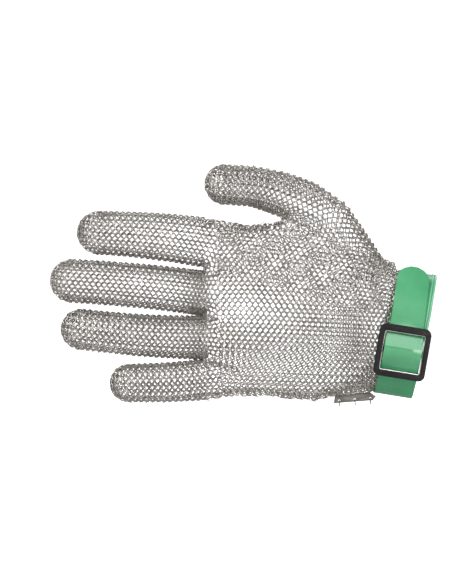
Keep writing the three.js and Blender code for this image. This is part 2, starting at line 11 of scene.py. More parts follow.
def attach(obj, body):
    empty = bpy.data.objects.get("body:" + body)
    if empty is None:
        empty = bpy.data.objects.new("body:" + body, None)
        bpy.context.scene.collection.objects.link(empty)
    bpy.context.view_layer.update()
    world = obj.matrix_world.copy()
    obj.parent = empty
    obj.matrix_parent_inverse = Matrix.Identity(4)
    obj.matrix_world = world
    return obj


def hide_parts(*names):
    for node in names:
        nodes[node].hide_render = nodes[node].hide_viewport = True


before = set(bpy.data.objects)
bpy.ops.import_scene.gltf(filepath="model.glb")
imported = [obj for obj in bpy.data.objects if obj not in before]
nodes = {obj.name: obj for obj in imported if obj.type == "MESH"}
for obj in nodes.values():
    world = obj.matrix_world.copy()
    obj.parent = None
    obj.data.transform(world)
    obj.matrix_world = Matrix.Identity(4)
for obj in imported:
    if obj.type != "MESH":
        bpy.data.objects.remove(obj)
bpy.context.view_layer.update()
mm = 0.001

# Steel links. Each is a ring of 0.54 mm stainless wire, 4 mm across and welded shut. Four others
# pass through every link. Neighbours in a row lean over one another like fallen dominoes, and the
# next row leans the other way, which makes the weave of round holes and dark zigzags.
link_radius = 1.73 * mm
wire_radius = 0.27 * mm
link_sides = 12
wire_sides = 5
link_pitch = 3.2 * mm
even_lean = math.radians(18)
odd_lean = math.radians(35)
row_lift = 0.08 * mm
loose_turn = math.radians(5)
weave_seed = 7
darkest_link = 0.72
brightest_link = 1.18
patch_low = 0.38
patch_high = 0.64
grain_finer = 9
least_room = 1.85 * mm
steepest_wall = 0.05
even_reach = 4 * mm
even_fall = 5 * mm
same_side = 0.3
facing_trace = 0.001


def add_node(tree, kind, inputs=None, **settings):
    """A node with its settings, and with inputs that are linked to a socket or set to a value."""
    node = tree.nodes.new(kind)
    for key, value in settings.items():
        setattr(node, key, value)
    for key, value in (inputs or {}).items():
        if isinstance(value, bpy.types.NodeSocket):
            tree.links.new(value, node.inputs[key])
        else:
            node.inputs[key].default_value = value
    return node


def rub_group():
    """Rubbed and dull patches, as any handled piece has: a mask from 0 to 1 and a small height."""
    group = bpy.data.node_groups.new("rub_marks", "ShaderNodeTree")
    sockets = group.interface
    for name in ("Size", "Strength"):
        setting = sockets.new_socket(name, in_out="INPUT", socket_type="NodeSocketFloat")
        setting.default_value = 1.0
    for name in ("Mask", "Height"):
        sockets.new_socket(name, in_out="OUTPUT", socket_type="NodeSocketFloat")
    given = group.nodes.new("NodeGroupInput").outputs
    made = group.nodes.new("NodeGroupOutput").inputs
    where = add_node(group, "ShaderNodeTexCoord").outputs["Object"]
    patches = add_node(
        group,
        "ShaderNodeTexNoise",
        {"Vector": where, "Scale": given["Size"], "Detail": 4, "Roughness": 0.6},
    )
    spread = add_node(
        group,
        "ShaderNodeMapRange",
        {"Value": patches.outputs["Fac"], "From Min": patch_low, "From Max": patch_high},
    )
    finer = add_node(
        group, "ShaderNodeMath", {0: given["Size"], 1: grain_finer}, operation="MULTIPLY"
    )
    grain = add_node(
        group, "ShaderNodeTexNoise", {"Vector": where, "Scale": finer.outputs[0], "Detail": 3}
    )
    height = add_node(
        group,
        "ShaderNodeMath",
        {0: grain.outputs["Fac"], 1: given["Strength"]},
        operation="MULTIPLY",
    )
    group.links.new(spread.outputs["Result"], made["Mask"])
    group.links.new(height.outputs[0], made["Height"])
    return group


rub_marks = rub_group()


def rubbed_material(name, fresh, rubbed, smooth, dull, metallic, mark_size, grain, depth):
    """A finish whose colour and gloss change with the rub marks, over a fine grain."""
    material = bpy.data.materials.new(name)
    material.use_nodes = True
    tree = material.node_tree
    surface = tree.nodes["Principled BSDF"].inputs
    surface["Metallic"].default_value = metallic
    marks = add_node(
        tree, "ShaderNodeGroup", {"Size": mark_size, "Strength": grain}, node_tree=rub_marks
    ).outputs
    colour = add_node(
        tree,
        "ShaderNodeMix",
        {"Factor": marks["Mask"], "A": (*fresh, 1), "B": (*rubbed, 1)},
        data_type="RGBA",
    )
    gloss = add_node(
        tree, "ShaderNodeMapRange", {"Value": marks["Mask"], "To Min": smooth, "To Max": dull}
    )
    bump = add_node(tree, "ShaderNodeBump", {"Height": marks["Height"], "Distance": depth})
    tree.links.new(colour.outputs["Result"], surface["Base Color"])
    tree.links.new(gloss.outputs["Result"], surface["Roughness"])
    tree.links.new(bump.outputs["Normal"], surface["Normal"])
    return material


def tint_links(material):
    """Makes the wire a little brighter or browner from one link to the next."""
    tree = material.node_tree
    base = tree.nodes["Principled BSDF"].inputs["Base Color"]
    own = add_node(tree, "ShaderNodeAttribute", attribute_name="link_shade")
    shade = add_node(
        tree,
        "ShaderNodeMapRange",
        {"Value": own.outputs["Fac"], "To Min": darkest_link, "To Max": brightest_link},
    )
    tinted = add_node(
        tree,
        "ShaderNodeVectorMath",
        {"Vector": base.links[0].from_socket, "Scale": shade.outputs["Result"]},
        operation="SCALE",
    )
    tree.links.new(tinted.outputs["Vector"], base)


ring_steel = rubbed_material(
    "ring_steel",
    fresh=(0.5, 0.475, 0.445),
    rubbed=(0.36, 0.335, 0.305),
    smooth=0.2,
    dull=0.34,
    metallic=1.0,
    mark_size=90,
    grain=0.3,
    depth=0.02 * mm,
)
tint_links(ring_steel)


def weave_tree():
    """Puts a wire ring on each point, facing along its link_axis, with a slight loose turn."""
    tree = bpy.data.node_groups.new("mail_weave", "GeometryNodeTree")
    sockets = tree.interface
    sockets.new_socket("Geometry", in_out="INPUT", socket_type="NodeSocketGeometry")
    for name, kind, value in (
        ("Link Radius", "NodeSocketFloat", link_radius),
        ("Wire Radius", "NodeSocketFloat", wire_radius),
        ("Link Sides", "NodeSocketInt", link_sides),
        ("Wire Sides", "NodeSocketInt", wire_sides),
        ("Loose Turn", "NodeSocketFloat", loose_turn),
        ("Seed", "NodeSocketInt", weave_seed),
    ):
        sockets.new_socket(name, in_out="INPUT", socket_type=kind).default_value = value
    sockets.new_socket("Steel", in_out="INPUT", socket_type="NodeSocketMaterial")
    sockets.new_socket("Geometry", in_out="OUTPUT", socket_type="NodeSocketGeometry")
    given = tree.nodes.new("NodeGroupInput").outputs
    made = tree.nodes.new("NodeGroupOutput").inputs

    def circle(sides, radius):
        sizes = {"Resolution": given[sides], "Radius": given[radius]}
        return add_node(tree, "GeometryNodeCurvePrimitiveCircle", sizes).outputs["Curve"]

    def direction(name):
        read = add_node(
            tree, "GeometryNodeInputNamedAttribute", {"Name": name}, data_type="FLOAT_VECTOR"
        )
        return read.outputs["Attribute"]

    hoop = circle("Link Sides", "Link Radius")
    wire = circle("Wire Sides", "Wire Radius")
    ring = add_node(tree, "GeometryNodeCurveToMesh", {"Curve": hoop, "Profile Curve": wire})
    turn = add_node(
        tree,
        "FunctionNodeAxesToRotation",
        {"Primary Axis": direction("link_axis"), "Secondary Axis": direction("link_row")},
        primary_axis="Z",
        secondary_axis="X",
    )
    placed = add_node(
        tree,
        "GeometryNodeInstanceOnPoints",
        {
            "Points": given["Geometry"],
            "Instance": ring.outputs["Mesh"],
            "Rotation": turn.outputs["Rotation"],
        },
    )
    opposite = add_node(
        tree, "ShaderNodeMath", {0: given["Loose Turn"], 1: -1.0}, operation="MULTIPLY"
    )
    loose = add_node(
        tree,
        "FunctionNodeRandomValue",
        {"Min": opposite.outputs[0], "Max": given["Loose Turn"], "Seed": given["Seed"]},
        data_type="FLOAT_VECTOR",
    )
    turned = add_node(
        tree,
        "GeometryNodeRotateInstances",
        {"Instances": placed.outputs["Instances"], "Rotation": loose.outputs["Value"]},
    )
    chance = add_node(
        tree, "FunctionNodeRandomValue", {"Seed": given["Seed"]}, data_type="FLOAT"
    )
    shaded = add_node(
        tree,
        "GeometryNodeStoreNamedAttribute",
        {
            "Geometry": turned.outputs["Instances"],
            "Name": "link_shade",
            "Value": chance.outputs[1],
        },
        data_type="FLOAT",
        domain="INSTANCE",
    )
    real = add_node(
        tree, "GeometryNodeRealizeInstances", {"Geometry": shaded.outputs["Geometry"]}
    )
    smooth = add_node(
        tree, "GeometryNodeSetShadeSmooth", {"Geometry": real.outputs["Geometry"]}
    )
    painted = add_node(
        tree,
        "GeometryNodeSetMaterial",
        {"Geometry": smooth.outputs["Geometry"], "Material": given["Steel"]},
    )
    tree.links.new(painted.outputs["Geometry"], made["Geometry"])
    return tree


weave = weave_tree()


def add_object(name, data):
    """A new object in the scene, still at the origin and unturned."""
    made = bpy.data.objects.new(name, data)
    bpy.context.scene.collection.objects.link(made)
    return made


def plain_mesh(holder):
    """What an object's modifier or curve makes, as a mesh of its own."""
    bpy.context.view_layer.update()
    evaluated = holder.evaluated_get(bpy.context.evaluated_depsgraph_get())
    return bpy.data.meshes.new_from_object(evaluated)


def settle(piece, slot, *cad_nodes):
    """The piece rides with the glove and stands for its solids, which it hides; slot is not used."""
    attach(piece, "root")
    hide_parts(*cad_nodes)


def woven_piece(name, links, *cad_nodes):
    """One piece of mail from a list of links: each has a place, an axis and its row's direction."""
    points = bpy.data.meshes.new(name + "_points")
    points.from_pydata([link[0] for link in links], [], [])
    for number, attribute in ((1, "link_axis"), (2, "link_row")):
        stored = points.attributes.new(attribute, "FLOAT_VECTOR", "POINT")
        stored.data.foreach_set("vector", [value for link in links for value in link[number]])
    piece = add_object(name, points)
    weaving = piece.modifiers.new("weave", "NODES")
    weaving.node_group = weave
    steel_input = next(s for s in weave.interface.items_tree if s.name == "Steel")
    weaving[steel_input.identifier] = ring_steel
    mesh = plain_mesh(piece)
    piece.modifiers.remove(weaving)
    piece.data = mesh
    mesh.name = name
    settle(piece, "ring_steel", *cad_nodes)


def wall_of(node):
    """The solid wall of a node, ready to be found by rays."""
    mesh = nodes[node].data
    corners = [corner.co for corner in mesh.vertices]
    return BVHTree.FromPolygons(corners, [tuple(face.vertices) for face in mesh.polygons])


def on_skin(skin, inside, outward, reach):
    """The outer point of a wall from a place inside it, or None past the wall's end."""
    hit, normal, _, _ = skin.ray_cast(inside + outward * reach, -outward, reach)
    if hit is None or normal.dot(outward) < steepest_wall:
        return None
    return hit


def skin_direction(skin, place, facing):
    """Which way the wall faces at a place, evened out over its flat facets."""
    total = facing * facing_trace
    for _, normal, _, gap in skin.find_nearest_range(place, even_reach):
        agree = normal.dot(facing)
        if agree > same_side:
            total = total + normal * agree * (even_fall - gap)
    return total.normalized()


laid = {}


def cell_of(place):
    """The small cube of space that a place is in. The links in each are kept in the table above."""
    return tuple(math.floor(value / least_room) for value in place)


def has_room(place, patch):
    """True if no link of an earlier patch is too near to the place."""
    home = cell_of(place)
    for shift in itertools.product((-1, 0, 1), repeat=3):
        cell = tuple(own + step for own, step in zip(home, shift))
        for other, name in laid.get(cell, ()):
            if name != patch and (other - place).length < least_room:
                return False
    return True


def lay_link(links, patch, skin, place, ahead, facing, row):
    """Adds a link on the skin, leaned along its row to the side that its row number gives."""
    if not has_room(place, patch):
        return
    normal = skin_direction(skin, place, facing)
    along = (ahead - normal * ahead.dot(normal)).normalized()
    even = row % 2 == 0
    lean = even_lean if even else -odd_lean
    seat = place + normal * (row_lift if even else -row_lift)
    links.append((seat, normal * math.cos(lean) + along * math.sin(lean), along))
    laid.setdefault(cell_of(place), []).append((place, patch))


# Fingers and knuckles of the mail. Rows of links run along each finger, go straight over its round
# tip and come back on the palm side, as on a tube that is woven flat and closed at the end. At the
# finger's root the rows are drawn together and go on over the knuckle into the hand's own weave.
root_bunching = {"little": 0.1, "ring": 0.28, "middle": 0.34, "index": 0.08}
root_bunch = 9 * mm
root_overlap = 7 * mm
root_band = (-2 * mm, 1 * mm)
tip_band = (8 * mm, 24 * mm)
finger_rows = 32
finger_reach = 20 * mm
tip_reach = 3 * finger_reach
tip_steps = 24
line_places = 9
line_first = 0.06
line_step = 0.11
knuckle_reach = 15.5 * mm
knuckle_from = 3 * mm
knuckle_facing = 0.55
least_run = 1e-9
hand_skin = wall_of("mail_hand")
through_hand = Vector((0, 1, 0))
up_hand = Vector((0, 0, 1))
knuckle_links = []


def band_middle(corners, low, high):
    """The middle of the corners whose x lies between two places."""
    band = [corner for corner in corners if low < corner.x < high]
    return Vector([(min(c[i] for c in band) + max(c[i] for c in band)) / 2 for i in range(3)])


def finger_line(node, skin):
    """The middle line of a finger at nine places from root to tip, found from its wall."""
    corners = [corner.co for corner in nodes[node].data.vertices]
    root_x = max(corner.x for corner in corners)
    tip_x = min(corner.x for corner in corners)
    root = band_middle(corners, root_x + root_band[0], root_x + root_band[1])
    tip = band_middle(corners, tip_x + tip_band[0], tip_x + tip_band[1])
    line = []
    for number in range(line_places):
        guess = root.lerp(tip, line_first + number * line_step)
        for out in (through_hand, up_hand, through_hand):
            one = on_skin(skin, guess, out, finger_reach)
            other = on_skin(skin, guess, -out, finger_reach)
            if one and other:
                guess = (one + other) / 2
        line.append(guess)
    return line


def side_directions(ahead):
    """Across a finger, and out of its back, for a finger that points ahead."""
    across = (up_hand - ahead * ahead.z).normalized()
    out = across.cross(ahead)
    return across, -out if out.y > 0 else out


def line_frame(line, run):
    """Place, ahead, across and back-of-hand directions at a distance along a line of points."""
    start = 0
    for before, after in zip(line, line[1:]):
        length = (after - before).length
        if run < start + length or after is line[-1]:
            break
        start += length
    ahead = (line[-1] - line[0]).normalized()
    place = before + (after - before).normalized() * (run - start)
    return place, ahead, *side_directions(ahead)


def half_pitches(first, root, last, bunch):
    """Distances along a finger at every half pitch, pushed together round the root by a share."""
    runs = [first]
    while runs[-1] < last:
        push = bunch * math.exp(-(((runs[-1] - root) / root_bunch) ** 2))
        runs.append(runs[-1] + link_pitch / 2 * (1 - push))
    return runs


def around_run(runs, run):
    """The number of the first point past a run along a path, and the share of the way to it."""
    after = min(max(bisect_right(runs, run), 1), len(runs) - 1)
    share = (run - runs[after - 1]) / max(runs[after] - runs[after - 1], least_run)
    return after, share


def weave_tip(links, patch, skin, rows, dome, tube_point, end, last_run):
    """Carries each row of the back over the round tip to its mate on the palm side."""
    centre, ahead, across, out = dome
    for row in range(rows // 2):
        mate = rows - 1 - row
        level = centre + across * (tube_point(end, row)[0] - centre).dot(across)
        path = [tube_point(last_run[row], row)[0]]
        for step in range(tip_steps + 1):
            turn = math.pi * step / tip_steps
            outward = out * math.cos(turn) + ahead * math.sin(turn)
            path.append(on_skin(skin, level, outward, finger_reach))
        path.append(tube_point(last_run[mate], mate)[0])
        path = [point for point in path if point is not None]
        runs = [0]
        for before, after in zip(path, path[1:]):
            runs.append(runs[-1] + (after - before).length)
        spaces = max(1, round(runs[-1] / link_pitch))
        for count in range(1, spaces):
            number, share = around_run(runs, runs[-1] * count / spaces)
            before, after = path[number - 1], path[number]
            place = before.lerp(after, share)
            facing = (place - centre).normalized()
            lay_link(links, patch, skin, place, after - before, facing, row)


def weave_finger(node, bunch):
    """The links of one finger. Those past its root, over the knuckle, go to the knuckle's list."""
    skin = wall_of(node)
    line = finger_line(node, skin)
    total = sum((after - before).length for before, after in zip(line, line[1:]))
    place, ahead, across, _ = line_frame(line, total)
    end = on_skin(skin, place, ahead, tip_reach)
    side = on_skin(skin, place, across, finger_reach)
    dome_start = total + (end - place).length - (side - place).length
    root = -line_first / ((line_places - 1) * line_step) * total
    runs_on_finger = half_pitches(root - root_overlap, root, dome_start, bunch)
    links = []

    def tube_point(run, row):
        place, _, across, out = line_frame(line, run)
        turn = 2 * math.pi * (row + 0.5) / finger_rows
        outward = across * math.cos(turn) + out * math.sin(turn)
        return on_skin(skin, place, outward, finger_reach), outward

    last_run = {}
    for row in range(finger_rows):
        for run in runs_on_finger[row % 2 : -1 : 2]:
            last_run[row] = run
            place, outward = tube_point(run, row)
            if place is not None:
                lay_link(links, node, skin, place, ahead, outward, row)
            elif run < root + knuckle_from and abs(outward.y) > knuckle_facing:
                middle = line_frame(line, run)[0]
                place = on_skin(hand_skin, middle, outward, knuckle_reach)
                if place is not None:
                    lay_link(knuckle_links, node, hand_skin, place, ahead, outward, row)
    dome = line_frame(line, dome_start)
    weave_tip(links, node, skin, finger_rows, dome, tube_point, dome_start, last_run)
    return links


for name, bunch in root_bunching.items():
    node = f"mail_{name}_finger"
    woven_piece(name + "_finger_mail", weave_finger(node, bunch), node)
woven_piece("knuckle_mail", knuckle_links, "mail_hand")

# Webs of the mail, between the roots of the fingers. Three short rows of the same steel links cross
# each web from the back of the hand to the palm and close the gap between two finger tubes.
web_heights = (-14.85 * mm, 8.96 * mm, 34.5 * mm)
web_rows = (-1, 0, 1)
web_spacing = 2.1 * mm
web_half_count = 4
web_from = -125 * mm
web_reach = 22 * mm
web_facing = -0.3


def weave_webs():
    links = []
    to_wrist = Vector((1, 0, 0))
    for height, row in itertools.product(web_heights, web_rows):
        for count in range(-web_half_count, web_half_count + 1):
            through = (count + (row % 2) / 2) * link_pitch
            start = Vector((web_from, through, height + row * web_spacing))
            place, normal, _, _ = hand_skin.ray_cast(start, to_wrist, web_reach)
            if place is not None and normal.x < web_facing:
                lay_link(links, "webs", hand_skin, place, through_hand, -to_wrist, row)
    return links


woven_piece("web_mail", weave_webs(), "mail_hand")

# Folds of the mail, behind the webs, where the loose weave is drawn into the hand. The same steel
# links stand there edge-on in two sheets side by side, which reads as a short dark crease.
# Each fold goes from one (x, height) to another, in mm.
fold_lines = (
    ((-110, -15.5), (-89, -22)),
    ((-110, 8.5), (-101, 5.5)),
    ((-110, 34), (-104, 33)),
)
fold_step = 2.1 * mm
fold_depth = 1.3 * mm
fold_gap = 0.9 * mm
fold_reach = 60 * mm


def weave_folds():
    links = []
    for ends in fold_lines:
        first, last = (Vector((x, 0, z)) * mm for x, z in ends)
        along = (last - first).normalized()
        side = along.cross(through_hand)
        counts = range(int((last - first).length / link_pitch))
        for sheet, row, count in itertools.product((-1, 1), (0, 1), counts):
            run = (count + row / 2 + (sheet + 1) / 4) * link_pitch
            beside = first + along * run + side * sheet * fold_gap
            above = beside - through_hand * fold_reach
            place = hand_skin.ray_cast(above, through_hand, fold_reach)[0]
            if place is not None:
                lean = odd_lean if row else -even_lean
                seat = place + through_hand * (fold_depth + row * fold_step)
                axis = side * sheet * math.cos(lean) + along * math.sin(lean)
                links.append((seat, axis, along))
    return links


woven_piece("fold_mail", weave_folds(), "mail_hand")

# Thumb of the mail. It is woven of the same links as a finger is, but its tube goes on over the ball
# of the thumb, where it turns towards the wrist and meets the hand's own weave in a crowded seam.
# The turns are given as (share of the length, lean in degrees), the seam as (x, height) in mm.
thumb_root = Vector((-16.8, 2, 22.4)) * mm
thumb_length = 118.3 * mm
thumb_joint = 75 * mm
thumb_turns = ((0, 57), (0.35, 57), (0.47, 28), (0.64, 22), (0.78, 5), (1, 0))
thumb_curl = math.radians(4)
curl_from = 0.78
thumb_tip_room = 10.5 * mm
thumb_reach = 19 * mm
thumb_steps = 60
thumb_rows = 36
thumb_counts = 60
web_seam = ((-75, 70), (-67.65, 62.7), (-43.5, 50.6), (-22, 44), (-2, 36))


def thumb_line():
    """The middle line of the thumb, which turns in steps at its joints."""
    points = [thumb_root]
    for step in range(thumb_steps):
        share = (step + 0.5) / thumb_steps
        after = bisect_right([turn[0] for turn in thumb_turns], share)
        (low, lean_low), (high, lean_high) = thumb_turns[after - 1], thumb_turns[after]
        lean = math.radians(lean_low + (lean_high - lean_low) * (share - low) / (high - low))
        curl = thumb_curl * (1 + max(0, share - curl_from) / (1 - curl_from))
        flat = math.cos(curl)
        ahead = Vector((-math.cos(lean) * flat, math.sin(curl), math.sin(lean) * flat))
        points.append(points[-1] + ahead * thumb_length / thumb_steps)
    return points


def line_height(line, x):
    """Height at x of a line given by its (x, height) points in mm."""
    x = x / mm
    if x <= line[0][0]:
        return line[0][1] * mm
    for (x0, z0), (x1, z1) in zip(line, line[1:]):
        if x < x1:
            return (z0 + (z1 - z0) * (x - x0) / (x1 - x0)) * mm
    return line[-1][1] * mm


def weave_thumb():
    """The links of the thumb's own tube, and those of its ball, which are on the hand's wall."""
    tip_skin = wall_of("mail_thumb")
    line = thumb_line()
    step = thumb_length / thumb_steps
    tip_links = []
    base_links = []

    def thumb_frame(run):
        number = min(max(int(run / step), 0), thumb_steps - 1)
        even_from = line[max(number - 2, 0)]
        even_to = line[min(number + 3, thumb_steps)]
        ahead = (even_to - even_from).normalized()
        place = line[number] + (line[number + 1] - line[number]) * (run / step - number)
        return place, ahead, *side_directions(ahead)

    def tube_point(run, row):
        place, ahead, across, out = thumb_frame(run)
        turn = 2 * math.pi * (row + 0.5) / thumb_rows
        outward = across * math.cos(turn) + out * math.sin(turn)
        skin = tip_skin if run > thumb_joint else hand_skin
        return on_skin(skin, place, outward, thumb_reach), outward, ahead, skin

    end = thumb_length - thumb_tip_room
    last_run = {}
    for row in range(thumb_rows):
        for count in range(thumb_counts):
            run = (count + (row % 2) / 2) * link_pitch
            if run > end:
                break
            last_run[row] = run
            place, outward, ahead, skin = tube_point(run, row)
            if place is None:
                continue
            if skin is hand_skin and place.z < line_height(web_seam, place.x):
                continue
            links = base_links if skin is hand_skin else tip_links
            lay_link(links, "mail_thumb", skin, place, ahead, outward, row)
    dome = thumb_frame(end)
    weave_tip(tip_links, "mail_thumb", tip_skin, thumb_rows, dome, tube_point, end, last_run)
    return tip_links, base_links


thumb_links, thumb_base_links = weave_thumb()
woven_piece("thumb_mail", thumb_links, "mail_thumb")
woven_piece("thumb_ball_mail", thumb_base_links, "mail_hand")

# Hand of the mail: sheets of the same links for the back and for the palm, joined at both sides. The
# back is woven in two parts, and the upper one slopes with the thumb. The links are pushed together
# at the cuff. The seam between the two parts is given as (x, height) in mm.
hand_first = -108.9 * mm
hand_last = 5 * mm
hand_low = -60 * mm
hand_high = 80 * mm
hand_reach = 80 * mm
column_step = 1.5 * mm
sweep_step = 0.5 * mm
split_seam = ((-109, 37), (-107.8, 36.3), (-47.3, 19.3), (-7.7, 11), (5, 8))
split_overlap = 1.5 * mm
web_overlap = 1 * mm
sheet_middle = -60 * mm
sheet_rows = 60
sheet_counts = 70
cuff_push_from = -38 * mm
cuff_push_over = 25 * mm
short_way = 0.5 * mm
least_way = 1e-6


def hand_columns(towards):
    """Lines across one face of the hand, each with the running length of the skin from height 0."""
    columns = []
    ray = through_hand * towards
    for number in range(int((hand_last - hand_first) / column_step) + 1):
        x = hand_first + number * column_step
        points = []
        for level in range(int(hand_low / sweep_step), int(hand_high / sweep_step)):
            start = Vector((x, -towards * hand_reach, level * sweep_step))
            hit = hand_skin.ray_cast(start, ray, hand_reach)[0]
            if hit is not None:
                points.append(hit)
        middle = min(range(len(points)), key=lambda i: abs(points[i].z))
        runs = [0.0] * len(points)
        for i in range(middle + 1, len(points)):
            runs[i] = runs[i - 1] + (points[i] - points[i - 1]).length
        for i in range(middle - 1, -1, -1):
            runs[i] = runs[i + 1] - (points[i + 1] - points[i]).length
        columns.append((runs, points))
    return columns


def column_point(column, run):
    """The place at a running length across the hand, or None past its ends and over a gap."""
    runs, points = column
    if run < runs[0] or run > runs[-1]:
        return None
    after, share = around_run(runs, run)
    if abs(points[after].z - points[after - 1].z) > 2 * sweep_step:
        return None
    return points[after - 1].lerp(points[after], share)


def face_point(columns, x, run):
    """A point on one face of the hand from its x and its running length across."""
    at = (x - hand_first) / column_step
    number = int(at)
    if at < 0 or number + 1 >= len(columns):
        return None
    one = column_point(columns[number], run)
    other = column_point(columns[number + 1], run)
    if one is None or other is None:
        return one or other
    return one.lerp(other, at - number)


def weave_face(patch, columns, facing, height, slope, spacing, push, allowed):
    """Lays one even sheet of links over a face of the hand, where it is allowed."""
    links = []
    turn = math.radians(slope)

    def sheet_point(along, across):
        x = sheet_middle + along * math.cos(turn) - across * math.sin(turn)
        run = height + along * math.sin(turn) + across * math.cos(turn)
        near_cuff = max(0, x - cuff_push_from)
        x = x - push * near_cuff * min(1, near_cuff / cuff_push_over)
        return face_point(columns, x, run)

    for row in range(-sheet_rows, sheet_rows + 1):
        across = row * spacing
        for count in range(-sheet_counts, sheet_counts + 1):
            along = (count + (row % 2) / 2) * link_pitch
            place = sheet_point(along, across)
            if place is None or not allowed(place):
                continue
            before = sheet_point(along - short_way, across) or place
            after = sheet_point(along + short_way, across) or place
            if (after - before).length >= least_way:
                lay_link(links, patch, hand_skin, place, after - before, facing, row)
    return links


def below_web(place):
    return place.z < line_height(web_seam, place.x) + web_overlap


def above_split(place):
    return below_web(place) and place.z >= line_height(split_seam, place.x)


def below_split(place):
    return place.z < line_height(split_seam, place.x) + split_overlap


back = hand_columns(1)
palm = hand_columns(-1)
for patch, columns, facing, height, slope, spacing, push, allowed in (
    ("upper_back", back, -through_hand, 30 * mm, -13, 2.2 * mm, 0.1, above_split),
    ("lower_back", back, -through_hand, 0, -2.5, 2.38 * mm, 0.19, below_split),
    ("palm", palm, through_hand, 0, -3, 2.3 * mm, 0.1, below_web),
):
    sheet = weave_face(patch, columns, facing, height, slope, spacing, push, allowed)
    woven_piece(patch + "_mail", sheet, "mail_hand")

# Wrist strap: one moulded band of green plastic, folded round the buckle's bar, once round the wrist
# and back through the buckle, so that its rounded free end lies on top. The buckle's bars have
# polished the stretch that shows in its window.
window_middle = (-2.5 * mm, -29 * mm, -10.6 * mm)
polish_within = 14.5 * mm
polish_ends = 16.5 * mm
window_coat = 0.9
other_coat = 0.04
strap_plastic = rubbed_material(
    "strap_plastic",
    fresh=(0.052, 0.26, 0.115),
    rubbed=(0.062, 0.29, 0.135),
    smooth=0.42,
    dull=0.54,
    metallic=0.0,
    mark_size=60,
    grain=0.4,
    depth=0.07 * mm,
)


def polish_stretch(material):
    """A glossy coat round the middle of the buckle's window, and hardly any elsewhere."""
    tree = material.node_tree
    surface = tree.nodes["Principled BSDF"].inputs
    where = add_node(tree, "ShaderNodeTexCoord")
    distance = add_node(
        tree,
        "ShaderNodeVectorMath",
        {0: where.outputs["Object"], 1: window_middle},
        operation="DISTANCE",
    )
    polish = add_node(
        tree,
        "ShaderNodeMapRange",
        {
            "Value": distance.outputs["Value"],
            "From Min": polish_within,
            "From Max": polish_ends,
            "To Min": window_coat,
            "To Max": other_coat,
        },
    )
    tree.links.new(polish.outputs["Result"], surface["Coat Weight"])
    surface["Coat Roughness"].default_value = 0.08
    surface["Specular IOR Level"].default_value = 0.25


polish_stretch(strap_plastic)


def dressed_copy(name, node, material, bevel=0, flat=0):
    """A merged copy of a solid. Facets within flat degrees are joined, and sharp edges rounded."""
    shape = bmesh.new()
    shape.from_mesh(nodes[node].data)
    bmesh.ops.remove_doubles(shape, verts=shape.verts, dist=1e-6)
    if flat:
        bmesh.ops.dissolve_limit(
            shape, angle_limit=math.radians(flat), verts=shape.verts, edges=shape.edges
        )
    bmesh.ops.recalc_face_normals(shape, faces=shape.faces)
    mesh = bpy.data.meshes.new(name)
    shape.to_mesh(mesh)
    shape.free()
    mesh.shade_smooth()
    mesh.materials.append(material)
    piece = add_object(name, mesh)
    if bevel:
        rounded = piece.modifiers.new("rounded", "BEVEL")
        rounded.width = bevel
        rounded.segments = 3
        rounded.limit_method = "ANGLE"
        rounded.angle_limit = math.radians(35)
        rounded.harden_normals = True
    return piece


strap = dressed_copy("strap_band", "wrist_strap", strap_plastic, bevel=0.3 * mm)
settle(strap, "strap_plastic", "wrist_strap")

# Ribs of the strap: two thin raised lines of the same plastic, moulded on the outside of the band
# beside its edge to the forearm. They are painted paler than the band: a painted highlight.
strap_turn = math.radians(9.2)
along_forearm = Vector((math.cos(strap_turn), 0, -math.sin(strap_turn)))
across_forearm = Vector((-along_forearm.z, 0, along_forearm.x))
rib_radius = 0.38 * mm
rib_lift = 0.1 * mm
rib_spacing = 1.35 * mm
rib_from_edge = 0.55 * mm
rib_turns = range(-8, 262, 3)
past_edge = 15 * mm
edge_step = 0.1 * mm
strap_reach = 60 * mm
strap_skin = wall_of("wrist_strap")
# A paler green than the band's plastic: the painted highlight of the ribs.
rib_highlight_plastic = rubbed_material(
    "rib_highlight_plastic",
    fresh=(0.15, 0.43, 0.26),
    rubbed=(0.18, 0.47, 0.3),
    smooth=0.32,
    dull=0.42,
    metallic=0.0,
    mark_size=60,
    grain=0.4,
    depth=0.02 * mm,
)


def strap_top(turn, along):
    """The outside of the strap at an angle round the wrist and a distance along the forearm."""
    outward = across_forearm * math.sin(turn) - through_hand * math.cos(turn)
    return on_skin(strap_skin, along_forearm * along, outward, strap_reach), outward


def strap_rib(number):
    """One of the ribs, the first of them nearest to the edge."""
    name = f"strap_rib_{number}"
    points = []
    for degrees in rib_turns:
        turn = math.radians(degrees)
        edge = past_edge
        while strap_top(turn, edge)[0] is None:
            edge -= edge_step
        place, outward = strap_top(turn, edge - rib_from_edge - number * rib_spacing)
        points.append(place + outward * rib_lift)
    path = bpy.data.curves.new(name, "CURVE")
    path.dimensions = "3D"
    path.bevel_depth = rib_radius
    path.bevel_resolution = 2
    path.use_fill_caps = True
    line = path.splines.new("POLY")
    line.points.add(len(points) - 1)
    for point, place in zip(line.points, points):
        point.co = (*place, 1)
    holder = add_object(name, path)
    mesh = plain_mesh(holder)
    bpy.data.objects.remove(holder)
    mesh.shade_smooth()
    mesh.materials.append(rib_highlight_plastic)
    rib = add_object(name, mesh)
    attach(rib, "root")


strap_rib(0)
strap_rib(1)
